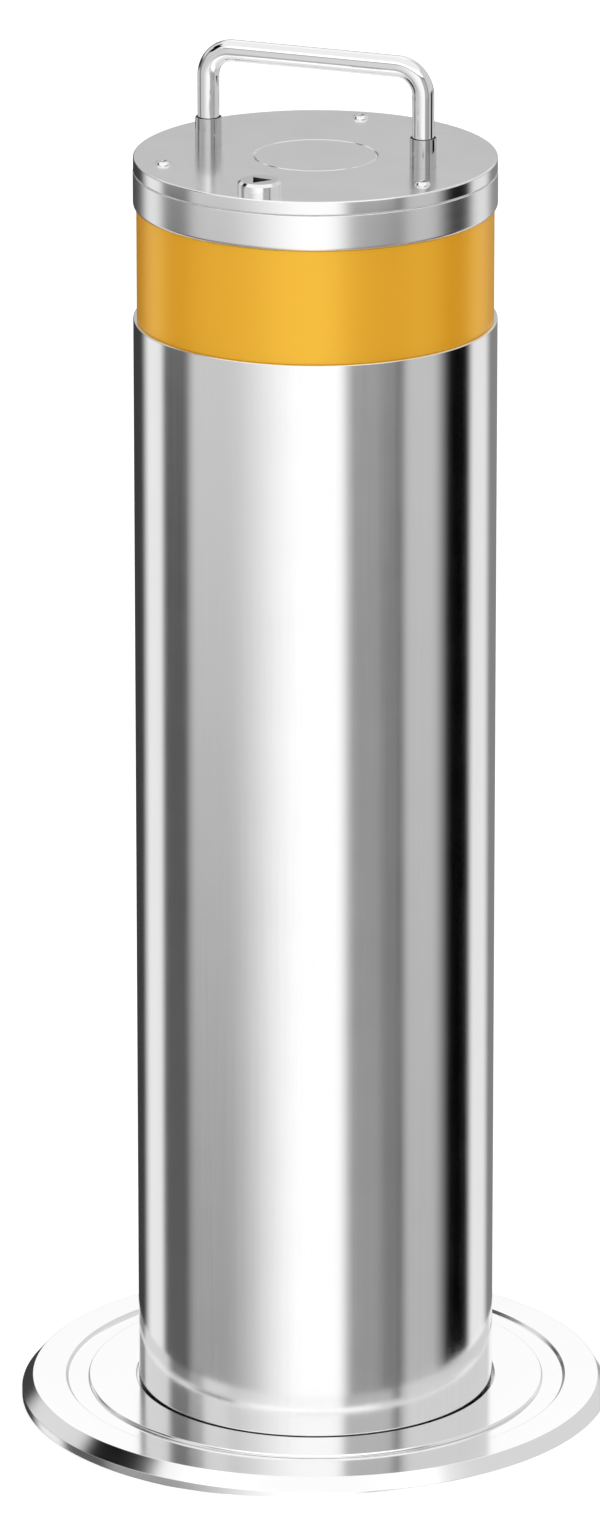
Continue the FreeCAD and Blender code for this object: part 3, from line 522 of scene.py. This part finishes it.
class Shape:
    """A mesh in the making, in metres from its own upright axis."""

    def __init__(self, axis: Place = (0.0, 0.0)) -> None:
        """Starts empty, on an axis that stands at a place of the part's frame."""
        self.axis = axis
        self.mesh = bmesh.new()

    def join(self, lower: Sequence[bmesh.types.BMVert], upper: Sequence[bmesh.types.BMVert]) -> None:
        """Joins two rings of vertices by faces, or does nothing where both are single points.

        Args:
            lower: the first ring, or a single vertex.
            upper: the second ring, or a single vertex.
        """
        count = max(len(lower), len(upper))
        if count < 2:
            return
        for index in range(count):
            after = index + 1
            ring = (lower[index % len(lower)], lower[after % len(lower)],
                    upper[after % len(upper)], upper[index % len(upper)])
            self.mesh.faces.new(list(dict.fromkeys(ring)))

    def turn(self, corners: Sequence[Corner], at: Place = (0.0, 0.0), turns: int = TURNS) -> "Shape":
        """Adds a turned solid.

        Args:
            corners: its closed section; a solid without a bore starts and ends on the axis.
            at: where its axis stands, from the shape's own.
            turns: how many flats go round it.

        Returns:
            The shape itself.
        """
        rings = []
        for radius, height in softened(corners):
            if radius < TINY:
                rings.append([self.mesh.verts.new((*at, height))])
                continue
            rings.append([
                self.mesh.verts.new((at[0] + x, at[1] + y, height)) for x, y in polygon(turns, radius)
            ])
        for lower, upper in zip(rings, rings[1:] + rings[:1]):
            self.join(lower, upper)
        return self

    def loft(self, outline: Sequence[Place], levels: Sequence[Place], at: Place = (0.0, 0.0)) -> "Shape":
        """Adds an upright solid with a flat top and foot.

        Args:
            outline: its plan, about its own middle.
            levels: heights, each with the factor by which the plan is scaled there.
            at: where its middle is, from the shape's axis.

        Returns:
            The shape itself.
        """
        rings = [
            [self.mesh.verts.new((at[0] + x * grow, at[1] + y * grow, height)) for x, y in outline]
            for height, grow in levels
        ]
        for lower, upper in zip(rings, rings[1:]):
            self.join(lower, upper)
        self.mesh.faces.new(rings[0])
        self.mesh.faces.new(rings[-1])
        return self

    def sweep(self, path: Sequence[tuple[Vector, Vector]], radius: float, sides: int) -> "Shape":
        """Adds a round bar along a path in the XZ plane.

        Args:
            path: points of the path, each with the direction in which it runs there.
            radius: the bar's radius.
            sides: how many flats go round it.

        Returns:
            The shape itself.
        """
        depth = Vector((0.0, 1.0, 0.0))
        rings = [
            [self.mesh.verts.new(point + depth.cross(along) * x + depth * y)
             for x, y in polygon(sides, radius)]
            for point, along in path
        ]
        for lower, upper in zip(rings, rings[1:]):
            self.join(lower, upper)
        self.mesh.faces.new(rings[0])
        self.mesh.faces.new(rings[-1])
        return self

    def bar(self, radius: float, length: float, height: float, x: float = 0.0) -> "Shape":
        """Adds a round bar along Y, with its middle on the XZ plane.

        Args:
            radius: the bar's radius.
            length: the bar's length.
            height: the height of its axis.
            x: the place of its axis along X.

        Returns:
            The shape itself.
        """
        fresh = Shape().turn(drill_section(radius, -length / 2, length / 2), turns=SMALL_TURNS)
        fresh.mesh.transform(Matrix.Translation((x, 0.0, height)) @ Matrix.Rotation(math.pi / 2, 4, "X"))
        loose = bpy.data.meshes.new("bar")
        fresh.mesh.to_mesh(loose)
        fresh.mesh.free()
        self.mesh.from_mesh(loose)
        bpy.data.meshes.remove(loose)
        return self

    def mark_shaded_well(self, reach: float, low: float, high: float) -> "Shape":
        """Sets the faces of a well on the axis apart, for the piece's second finish, a darker one that
        paints the shade inside the well.

        Args:
            reach: how far the well reaches from the axis.
            low: a height just below its floor.
            high: a height just below its mouth.

        Returns:
            The shape itself.
        """
        # The well's faces get the second, darker finish, which paints the shade that falls inside the well
        for face in self.mesh.faces:
            middle = face.calc_center_median()
            if middle.xy.length < reach and low < middle.z < high:
                face.material_index = 1
        return self

    def as_object(self, name: str) -> bpy.types.Object:
        """Makes an object of the shape, which is used up.

        Args:
            name: the object's name.

        Returns:
            The object, at the shape's axis, smooth but for its sharp edges.
        """
        bmesh.ops.recalc_face_normals(self.mesh, faces=self.mesh.faces)
        for face in self.mesh.faces:
            face.smooth = True
        for edge in self.mesh.edges:
            edge.smooth = edge.calc_face_angle(0.0) < SHARP_EDGE
        mesh = bpy.data.meshes.new(name)
        self.mesh.to_mesh(mesh)
        self.mesh.free()
        made = bpy.data.objects.new(name, mesh)
        made.location = (*self.axis, 0.0)
        bpy.context.scene.collection.objects.link(made)
        return made

    def cut(self, tool: "Shape") -> "Shape":
        """Takes another shape on the same axis out of this one, and uses it up.

        Args:
            tool: what is cut away.

        Returns:
            The shape itself.
        """
        axis, tool.axis = self.axis, self.axis
        work, cutter = self.as_object("work"), tool.as_object("cutter")
        cut = work.modifiers.new("cut", "BOOLEAN")
        cut.object = cutter
        cut.operation = "DIFFERENCE"
        cut.solver = "EXACT"
        depsgraph = bpy.context.evaluated_depsgraph_get()
        left = bpy.data.meshes.new_from_object(work.evaluated_get(depsgraph), depsgraph=depsgraph)
        self.axis = axis
        self.mesh = bmesh.new()
        self.mesh.from_mesh(left)
        for used in (work, cutter):
            bpy.data.meshes.remove(used.data)
        bpy.data.meshes.remove(left)
        return self


class Workshop:
    """Finishes pieces and ties them to the frame."""

    def __init__(self) -> None:
        """Starts with no material made."""
        self.materials: dict[Finish, bpy.types.Material] = {}

    def material(self, finish: Finish) -> bpy.types.Material:
        """Makes the material of a finish when it is first asked for.

        Args:
            finish: the finish.

        Returns:
            Its material.
        """
        if finish not in self.materials:
            made = bpy.data.materials.new(finish.name)
            made.use_nodes = True
            finish.paint(Bench(made.node_tree))
            self.materials[finish] = made
        return self.materials[finish]

    def add(
        self,
        name: str,
        shape: Shape,
        finish: Finish,
        slot: Slot,
        body: Body,
        nodes: Iterable[str],
        well_shade: Finish | None = None,
    ) -> None:
        """Makes a piece and hides the nodes that it stands for.

        Args:
            name: the piece's name.
            shape: its form, which is used up.
            finish: its finish.
            slot: the record's slot of that finish; it is not used.
            body: the body that it rides on.
            nodes: the frame's nodes that it replaces.
            well_shade: the finish of the faces that are set apart, a darker one that paints the shade in a
                well, if there are any.
        """
        piece = shape.as_object(name)
        weighted = piece.modifiers.new("weighted_normals", "WEIGHTED_NORMAL")
        weighted.keep_sharp = True
        # The second finish, if given, is the darker one that paints shade onto the faces set apart
        for skin in filter(None, (finish, well_shade)):
            piece.data.materials.append(self.material(skin))
        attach(piece, body.value)
        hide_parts(*nodes)
        count = len(piece.data.polygons)
        LOG.info("%s on %s, %d faces, for %s", name, body.value, count, ", ".join(nodes))

    def keep(self, nodes: Iterable[str], finish: Finish, slot: Slot) -> None:
        """Gives nodes of the frame that stay as they are their finish.

        Args:
            nodes: the nodes' names.
            finish: their finish.
            slot: the record's slot of that finish; it is not used.
        """
        for name in nodes:
            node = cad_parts[name]
            node.data.materials.clear()
            node.data.materials.append(self.material(finish))
            LOG.info("%s kept, in %s", name, finish.name)


# Sub-assemblies

@dataclass
class FloorBase:
    """The flange on the floor, the ring that covers its anchors, and the spigot."""

    workshop: Workshop
    bevel_width: float = 5.2 * MM
    bevel_height: float = 6.0 * MM
    land_radius: float = 118.95 * MM
    slope: float = 0.95 * MM
    depth: float = 1.6 * MM
    seat_height: float = 4.0 * MM
    seat_inner: float = 80.75 * MM
    seat_outer: float = 86.9 * MM
    spigot_seat: float = 54.05 * MM
    lip: float = 1.5 * MM
    lip_gap: float = 0.05 * MM
    anchor_pitch: float = 97.0 * MM
    anchor_hole: float = 5.5 * MM
    anchor_head: float = 9.6 * MM
    anchor_count: int = 4
    edge: float = 0.35 * MM
    fine_edge: float = 0.5 * MM
    foot_round: float = 0.5 * MM

    def flange(self) -> Shape:
        """Makes the turned flange with its bevel, channel, seat and anchor holes.

        Returns:
            The flange.
        """
        low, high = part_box("base_flange")
        radius, top = high.x, high.z
        floor = top - self.depth
        shape = Shape().turn([
            Corner(self.spigot_seat, low.z),
            Corner(radius, low.z, self.foot_round),
            Corner(radius, top - self.bevel_height, self.edge),
            Corner(radius - self.bevel_width, top, self.edge),
            Corner(self.land_radius, top, self.fine_edge),
            Corner(self.land_radius - self.slope, floor, self.fine_edge),
            Corner(self.seat_outer, floor),
            Corner(self.seat_outer, self.seat_height),
            Corner(self.seat_inner, self.seat_height),
            Corner(self.seat_inner, floor, self.fine_edge),
            Corner(self.spigot_seat, floor, self.fine_edge),
        ])
        holes = Shape()
        sink = self.anchor_head - self.anchor_hole
        for x, y in polygon(self.anchor_count, self.anchor_pitch, math.pi / 4):
            holes.turn([
                Corner(0.0, -self.edge),
                Corner(self.anchor_hole, -self.edge),
                Corner(self.anchor_hole, floor - sink),
                Corner(self.anchor_head + self.edge, floor + self.edge),
                Corner(0.0, floor + self.edge),
            ], at=(x, y), turns=SMALL_TURNS)
        return shape.cut(holes)

    def cover(self) -> Shape:
        """Makes the flat ring that lies in the channel, with its lip turned down into the seat.

        Returns:
            The ring.
        """
        low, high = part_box("cover_ring")
        foot = high.z - self.depth
        bore = self.seat_outer - self.lip - self.lip_gap
        return Shape().turn([
            Corner(bore, low.z),
            Corner(bore + self.lip, low.z),
            Corner(bore + self.lip, foot),
            Corner(high.x, foot, self.fine_edge),
            Corner(high.x - self.slope, high.z, self.edge),
            Corner(bore, high.z, self.edge),
        ])

    def build(self) -> None:
        """Makes the pieces of the base."""
        add = self.workshop.add
        add("flange_plate", self.flange(), FLANGE_STEEL, Slot.SATIN, Body.BASE, ["base_flange"])
        add("anchor_cover", self.cover(), FLANGE_STEEL, Slot.SATIN, Body.BASE, ["cover_ring"])
        self.workshop.keep(["base_spigot"], RAW_STEEL, Slot.RAW)


@dataclass
class Post:
    """The post tube, the neck inside it, the amber band and the ring above it."""

    workshop: Workshop
    wall: float = 3.0 * MM
    tube_edge: float = 0.5 * MM
    cap_edge: float = 0.35 * MM
    cap_round: float = 2.0 * MM
    film_edge: float = 0.25 * MM

    def build(self) -> None:
        """Makes the pieces of the post."""
        low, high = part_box("post_tube")
        bore = high.x - self.wall
        tube = Shape().turn(ring_section(bore, high.x, low.z, high.z, self.tube_edge))
        low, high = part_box("reflective_band")
        band = Shape().turn(ring_section(bore, high.x, low.z, high.z, self.film_edge))
        low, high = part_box("cap_ring")
        cap = Shape().turn([
            Corner(bore, low.z),
            Corner(high.x, low.z, self.cap_round),
            Corner(high.x, high.z, self.cap_edge),
            Corner(bore, high.z),
        ])
        add = self.workshop.add
        add("post_shell", tube, POLISHED_TUBE, Slot.POLISHED, Body.POST, ["post_tube"])
        add("amber_band", band, AMBER_FILM, Slot.AMBER, Body.POST, ["reflective_band"])
        add("cap_collar", cap, COLLAR_STEEL, Slot.POLISHED, Body.POST, ["cap_ring"])
        self.workshop.keep(["neck_tube"], RAW_STEEL, Slot.RAW)


@dataclass
class Lid:
    """The top plate with its fine cut circle, the gasket under it and its three screws."""

    workshop: Workshop
    rim_round: float = 0.7 * MM
    edge: float = 0.2 * MM
    circle_radius: float = 28.4 * MM
    circle_width: float = 1.1 * MM
    circle_depth: float = 0.5 * MM
    handle_reach: float = HANDLE_REACH
    sleeve_hole: float = 6.15 * MM
    lock_axis: Place = LOCK_AXIS
    lock_hole: float = 8.03 * MM
    screw_pitch: float = 71.5 * MM
    screw_angle: float = math.radians(94.5)
    screw_count: int = 3
    screw_hole: float = 2.05 * MM
    screw_shank: float = 2.0 * MM
    screw_head: float = 3.6 * MM
    screw_rim: float = 0.35 * MM
    screw_flat: float = 2.5 * MM
    screw_height: float = 1.5 * MM
    key_width: float = 2.5 * MM
    key_depth: float = 1.0 * MM
    key_bevel: float = 0.2 * MM
    key_flare: float = 1.25
    key_sides: int = 6
    dome_steps: int = 8

    def plate(self) -> Shape:
        """Makes the plate with its holes.

        Returns:
            The plate.
        """
        low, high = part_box("top_plate")
        top = high.z
        half = self.circle_width / 2
        shape = Shape().turn([
            Corner(0.0, low.z),
            Corner(high.x, low.z, self.edge),
            Corner(high.x, top, self.rim_round),
            Corner(self.circle_radius + half, top),
            Corner(self.circle_radius, top - self.circle_depth),
            Corner(self.circle_radius - half, top),
            Corner(0.0, top),
        ])
        holes = Shape()
        places = [((side * self.handle_reach, 0.0), self.sleeve_hole) for side in (1, -1)]
        places.append((self.lock_axis, self.lock_hole))
        places += [(place, self.screw_hole) for place in self.screw_places()]
        for place, radius in places:
            drill = drill_section(radius, low.z - DRILL_EXCESS, top + DRILL_EXCESS)
            holes.turn(drill, at=place, turns=SMALL_TURNS)
        return shape.cut(holes)

    def screw_places(self) -> list[Place]:
        """Where the screws stand."""
        return polygon(self.screw_count, self.screw_pitch, self.screw_angle)

    def screws(self) -> Shape:
        """Makes the button head screws, each with its hexagonal socket.

        Returns:
            The screws.
        """
        low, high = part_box("lid_screws")
        seat = high.z - self.screw_height
        rise = self.screw_height - self.screw_rim
        centre = (self.screw_flat ** 2 + rise ** 2 - self.screw_head ** 2) / (2 * rise)
        curve = math.hypot(self.screw_head, centre)
        start = math.atan2(-centre, self.screw_head)
        end = math.atan2(rise - centre, self.screw_flat)
        angles = [start + (end - start) * step / self.dome_steps for step in range(self.dome_steps + 1)]
        dome = [
            Corner(curve * math.cos(angle), seat + self.screw_rim + centre + curve * math.sin(angle))
            for angle in angles
        ]
        section = [
            Corner(0.0, low.z), Corner(self.screw_shank, low.z), Corner(self.screw_shank, seat),
            Corner(self.screw_head, seat), *dome, Corner(0.0, high.z),
        ]
        shape, sockets = Shape(), Shape()
        hexagon = polygon(self.key_sides, self.key_width / math.sqrt(3), self.screw_angle)
        levels = [
            (high.z - self.key_depth, 1.0),
            (high.z - self.key_bevel, 1.0),
            (high.z + self.key_bevel, self.key_flare),
        ]
        for place in self.screw_places():
            shape.turn(section, at=place, turns=SMALL_TURNS)
            sockets.loft(hexagon, levels, at=place)
        return shape.cut(sockets)

    def build(self) -> None:
        """Makes the pieces of the lid."""
        add, keep = self.workshop.add, self.workshop.keep
        add("lid_disc", self.plate(), LID_STEEL, Slot.SATIN, Body.POST, ["top_plate"])
        add("lid_button_screws", self.screws(), LOCK_STEEL, Slot.POLISHED, Body.POST, ["lid_screws"])
        keep(["lid_gasket"], GREY_RUBBER, Slot.RUBBER)
        keep(["lid_screw_lugs"], RAW_STEEL, Slot.RAW)


@dataclass
class Handle:
    """The bent rod, the two sleeves that it slides in, and what holds them under the lid."""

    workshop: Workshop
    reach: float = HANDLE_REACH
    radius: float = 5.0 * MM
    bend: float = 12.5 * MM
    bend_steps: int = 24
    sides: int = 64
    pin_height: float = 582.6 * MM
    pin_radius: float = 1.5 * MM
    sleeve_bore: float = 5.08 * MM
    mouth: float = 5.8 * MM
    mouth_depth: float = 2.5 * MM
    sleeve_edge: float = 0.12 * MM

    def rod(self) -> Shape:
        """Makes the handle's rod, from one foot over the grip to the other.

        Returns:
            The rod.
        """
        low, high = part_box("handle_rod")
        grip = high.z - self.radius
        path = [(Vector((-self.reach, 0.0, low.z)), Vector((0.0, 0.0, 1.0)))]
        for side in (-1, 1):
            for step in range(self.bend_steps + 1):
                share = step / self.bend_steps
                angle = math.pi / 2 * (share if side < 0 else 1 - share)
                middle = Vector((side * (self.reach - self.bend), 0.0, grip - self.bend))
                out = Vector((side * math.cos(angle), 0.0, math.sin(angle)))
                along = Vector((math.sin(angle), 0.0, -side * math.cos(angle)))
                path.append((middle + out * self.bend, along))
        path.append((Vector((self.reach, 0.0, low.z)), Vector((0.0, 0.0, -1.0))))
        holes = Shape()
        for side in (-1, 1):
            holes.bar(self.pin_radius, CROSS_DRILL, self.pin_height, side * self.reach)
        return Shape().sweep(path, self.radius, self.sides).cut(holes)

    def sleeve(self, node: str, side: int) -> Shape:
        """Makes one sleeve, with the open mouth round the rod.

        Args:
            node: the frame's node of the sleeve.
            side: 1 for the sleeve on the right, and -1 for the left.

        Returns:
            The sleeve.
        """
        low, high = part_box(node)
        outer = (high.x - low.x) / 2
        return Shape(axis=(side * self.reach, 0.0)).turn([
            Corner(self.sleeve_bore, low.z),
            Corner(outer, low.z, self.sleeve_edge),
            Corner(outer, high.z, self.sleeve_edge),
            Corner(self.mouth, high.z, self.sleeve_edge / 2),
            Corner(self.mouth, high.z - self.mouth_depth),
            Corner(self.sleeve_bore, high.z - self.mouth_depth),
        ], turns=SMALL_TURNS)

    def build(self) -> None:
        """Makes the pieces of the handle."""
        add, keep = self.workshop.add, self.workshop.keep
        add("grip_rod", self.rod(), POLISHED_ROD, Slot.POLISHED, Body.HANDLE, ["handle_rod"])
        for word, side in (("right", 1), ("left", -1)):
            node = "handle_sleeve_" + word
            add(word + "_sleeve", self.sleeve(node, side), SLEEVE_STEEL, Slot.POLISHED, Body.POST, [node])
        keep(["sleeve_nuts", "handle_stop_collars", "collar_pins"], RAW_STEEL, Slot.RAW)


@dataclass
class Lock:
    """The key plug in the lid and the latch train below it."""

    workshop: Workshop
    axis: Place = LOCK_AXIS
    head_height: float = 5.2 * MM
    head_radius: float = 10.0 * MM
    head_bevel: float = 1.3 * MM
    edge: float = 0.15 * MM
    socket_corners: int = 3
    socket_corner: float = 5.9 * MM
    socket_depth: float = 8.0 * MM
    socket_angle: float = math.radians(21.6)
    shank: float = 6.8 * MM
    shank_foot: float = 595.7 * MM
    groove_low: float = 599.65 * MM
    groove_high: float = 600.75 * MM
    groove_radius: float = 6.1 * MM
    stub: float = 5.0 * MM
    pin_height: float = 585.7 * MM
    pin_radius: float = 1.5 * MM

    def plug(self) -> Shape:
        """Makes the turning plug: bevelled head, triangular socket, circlip groove and stub.

        Returns:
            The plug.
        """
        low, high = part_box("key_plug")
        lid = high.z - self.head_height
        shape = Shape(self.axis).turn([
            Corner(0.0, low.z),
            Corner(self.stub, low.z),
            Corner(self.stub, self.shank_foot),
            Corner(self.shank, self.shank_foot),
            Corner(self.shank, self.groove_low),
            Corner(self.groove_radius, self.groove_low),
            Corner(self.groove_radius, self.groove_high),
            Corner(self.shank, self.groove_high),
            Corner(self.shank, lid),
            Corner(self.head_radius, lid),
            Corner(self.head_radius, high.z - self.head_bevel, self.edge),
            Corner(self.head_radius - self.head_bevel, high.z, self.edge),
            Corner(0.0, high.z),
        ], turns=SMALL_TURNS)
        triangle = polygon(self.socket_corners, self.socket_corner, self.socket_angle)
        foot = high.z - self.socket_depth
        socket = Shape().loft(triangle, [(foot, 1.0), (high.z + self.edge, 1.0)])
        plug = shape.cut(socket.bar(self.pin_radius, CROSS_DRILL, self.pin_height))
        # The socket's walls are set apart for the darker finish, which paints the shade inside the socket
        return plug.mark_shaded_well(self.socket_corner, foot - self.edge, high.z - self.edge)

    def build(self) -> None:
        """Makes the key plug and finishes the rest of the lock."""
        add, keep = self.workshop.add, self.workshop.keep
        # The plug's socket walls take the darker steel, which paints the shade that falls inside the socket
        add("key_boss", self.plug(), LOCK_STEEL, Slot.POLISHED, Body.LOCK, ["key_plug"], SHADED_SOCKET_STEEL)
        keep(["lock_bush"], BRONZE, Slot.BRONZE)
        keep([
            "plug_circlip", "spindle_coupling", "coupling_pins", "lock_spindle", "latch_tongue", "latch_pin",
        ], RAW_STEEL, Slot.RAW)


@dataclass
class Guides:
    """The plates inside the post that guide it on the spigot."""

    workshop: Workshop

    def build(self) -> None:
        """Finishes the guides' pieces."""
        for place in ("lower", "upper"):
            self.workshop.keep([place + "_guide_plate"], RAW_STEEL, Slot.RAW)
            self.workshop.keep([place + "_glide_ring"], WHITE_NYLON, Slot.NYLON)
            self.workshop.keep([place + "_spindle_bush"], BRONZE, Slot.BRONZE)


# Studio

@dataclass(frozen=True)
class Panel:
    """A panel or flag of the studio, as it stands round the post.

    Azimuths are in degrees to the right of the camera and elevations in degrees above the horizon.
    Each edge of the panel is soft over the fade. The panel shines with its foot brightness low down
    and with its head brightness high up, between the two elevations of the studio's steep range. A
    panel with both_sides stands on the left as it does on the right.
    """

    left: float
    right: float
    foot: float
    head: float
    fade: float = 8.0
    right_fade: float = 8.0
    low: float = -120.0
    high: float = 28.0
    low_fade: float = 8.0
    high_fade: float = 8.0
    both_sides: bool = False


@dataclass
class Studio:
    """The floor, the light and the camera."""

    workshop: Workshop
    floor_near: float = 146.5 * MM
    floor_middle: Place = (12.1 * MM, 4.8 * MM)
    floor_reach: float = 40.0
    backdrop_tone: float = 1.0
    room_tone: float = 0.045
    steep_low: float = -22.0
    steep_high: float = -15.0
    lean: float = 0.037
    panels: tuple[Panel, ...] = (
        Panel(left=140, right=200, foot=0.22, head=0.24, fade=10),
        Panel(left=-140, right=-114, foot=0.88, head=0.88, fade=16, right_fade=12, high=-7),
        Panel(left=-89, right=25, foot=0.32, head=0.66, fade=13),
        Panel(left=-33, right=21, foot=1.12, head=1.12, fade=56, right_fade=18),
        Panel(left=21, right=53, foot=0.32, head=0.30, fade=12),
        Panel(left=43, right=53, foot=0.20, head=0.20, fade=10),
        Panel(left=21, right=53, foot=0.50, head=0.50, fade=12, low=-14.8, low_fade=2.4),
        Panel(left=58, right=88, foot=0.47, head=0.58, fade=10, right_fade=16),
        Panel(left=94, right=115, foot=0.0, head=0.0),
        Panel(left=117.5, right=144, foot=0.86, head=0.84, fade=9, right_fade=14),
        Panel(left=-152, right=-60, foot=0.74, head=0.74, low=7.5, high=40, low_fade=9),
        Panel(left=-200, right=200, foot=1.0, head=1.0, low=33, high=120, low_fade=10),
        Panel(left=-62, right=62, foot=1.5, head=1.5, fade=20, right_fade=20, low=34, high=54),
        Panel(left=62, right=174, foot=0.70, head=0.70, fade=10, right_fade=10, low=-4, high=50),
        Panel(left=120, right=174, foot=0.34, head=0.34, fade=10, right_fade=10, low=-10, low_fade=6,
              high=-4),
        Panel(left=-113, right=-92, foot=0.33, head=0.33, low=-15.4, high=26, low_fade=3),
        Panel(left=-113, right=-92, foot=0.11, head=0.082, high=-15.4, high_fade=3),
        Panel(left=-112, right=-80, foot=0.0, head=0.0, right_fade=6, low=22, low_fade=5, high=46,
              high_fade=6),
        Panel(left=-128, right=-108, foot=0.0, head=0.0, fade=6, right_fade=6, low=32, low_fade=4,
              high=50),
        Panel(left=160, right=200, foot=0.49, head=0.49, fade=10, low=7, high=120, both_sides=True),
        Panel(left=160, right=200, foot=1.08, head=1.08, fade=10, low=18.5, low_fade=4, high=120,
              both_sides=True),
        Panel(left=-170, right=-154, foot=0.28, head=0.28, low=7, high=30),
    )
    camera_place: tuple[float, float, float] = (1.6964, -4.2844, 1.8143)
    camera_pitch: float = math.radians(18.04)
    camera_lens: float = 243.02
    camera_shift: float = -0.01018

    def floor_part(self, name: str, inner: float, outer: float, mirrored: bool) -> None:
        """Makes a part of the floor.

        Args:
            name: the part's name.
            inner: the radius where it starts.
            outer: the radius where it ends.
            mirrored: whether it shows in polished surfaces.
        """
        shape = Shape(axis=self.floor_middle)
        rings = [
            [shape.mesh.verts.new((x, y, 0.0)) for x, y in polygon(SMALL_TURNS, radius)] if radius > 0
            else [shape.mesh.verts.new((0.0, 0.0, 0.0))]
            for radius in (inner, outer)
        ]
        shape.join(*rings)
        part = shape.as_object(name)
        part.data.materials.append(self.workshop.material(PALE_FLOOR))
        part.visible_glossy = mirrored

    def floor(self) -> None:
        """The plain pale floor; far from the flange mirrors leave it out, and show the panels instead."""
        self.floor_part("floor_near", 0.0, self.floor_near, mirrored=True)
        self.floor_part("floor", self.floor_near, self.floor_reach, mirrored=False)

    def light(self) -> None:
        """The soft light: a room of panels and flags whose places are fixed round the post."""
        world = bpy.data.worlds.new("studio")
        bpy.context.scene.world = world
        world.use_nodes = True
        bench = Bench(world.node_tree)
        x, y, z = bench.parts(bench.wire("ShaderNodeTexCoord", output="Generated"))
        toward = x * math.sin(VIEW_AZIMUTH) - y * math.cos(VIEW_AZIMUTH)
        aside = x * math.cos(VIEW_AZIMUTH) + y * math.sin(VIEW_AZIMUTH)
        turn = bench.wire("ShaderNodeMath", {"operation": "ARCTAN2"}, {0: aside, 1: toward})
        rise = bench.wire("ShaderNodeMath", {"operation": "ARCSINE"}, {0: z})
        elevation = rise * math.degrees(1)
        steep = elevation.ramp(self.steep_low, self.steep_high)
        azimuth = turn * math.degrees(1) * (1 + (steep - 0.5) * self.lean)
        tone: Wire | float = self.room_tone
        for panel in self.panels:
            across = abs(azimuth) if panel.both_sides else azimuth
            share = across.edge(panel.left, panel.fade)
            share = share - across.edge(panel.right, panel.right_fade)
            share = share * elevation.edge(panel.low, panel.low_fade)
            share = share * (1 - elevation.edge(panel.high, panel.high_fade))
            shine = panel.foot + steep * (panel.head - panel.foot)
            tone = tone + share * (shine - tone)
        room = bench.node("ShaderNodeBackground", sockets={"Color": bench.join(tone, tone, tone)})
        pale = (*(self.backdrop_tone,) * 3, 1.0)
        backdrop = bench.node("ShaderNodeBackground", sockets={"Color": pale})
        seen = bench.wire("ShaderNodeLightPath", output="Is Camera Ray")
        shader = bench.node("ShaderNodeMixShader", sockets={0: seen, 1: room, 2: backdrop})
        bench.node("ShaderNodeOutputWorld", sockets={"Surface": shader})

    def camera(self) -> None:
        """The camera, at the photograph's height and bearing."""
        data = bpy.data.cameras.new("camera")
        data.lens = self.camera_lens
        data.shift_x = self.camera_shift
        data.clip_end = 4 * self.floor_reach
        camera = bpy.data.objects.new("camera", data)
        camera.location = self.camera_place
        camera.rotation_euler = (math.pi / 2 - self.camera_pitch, 0.0, VIEW_AZIMUTH)
        bpy.context.scene.collection.objects.link(camera)
        bpy.context.scene.camera = camera
        bpy.context.scene.view_settings.view_transform = "Standard"

    def build(self) -> None:
        """Sets the studio up."""
        self.floor()
        self.light()
        self.camera()


def main() -> None:
    """Builds the part's looks and the studio round it."""
    logging.basicConfig(level=logging.INFO, format="%(name)s: %(message)s")
    workshop = Workshop()
    for assembly in (FloorBase, Post, Guides, Lid, Handle, Lock, Studio):
        assembly(workshop).build()


if __name__ == "__main__":
    main()
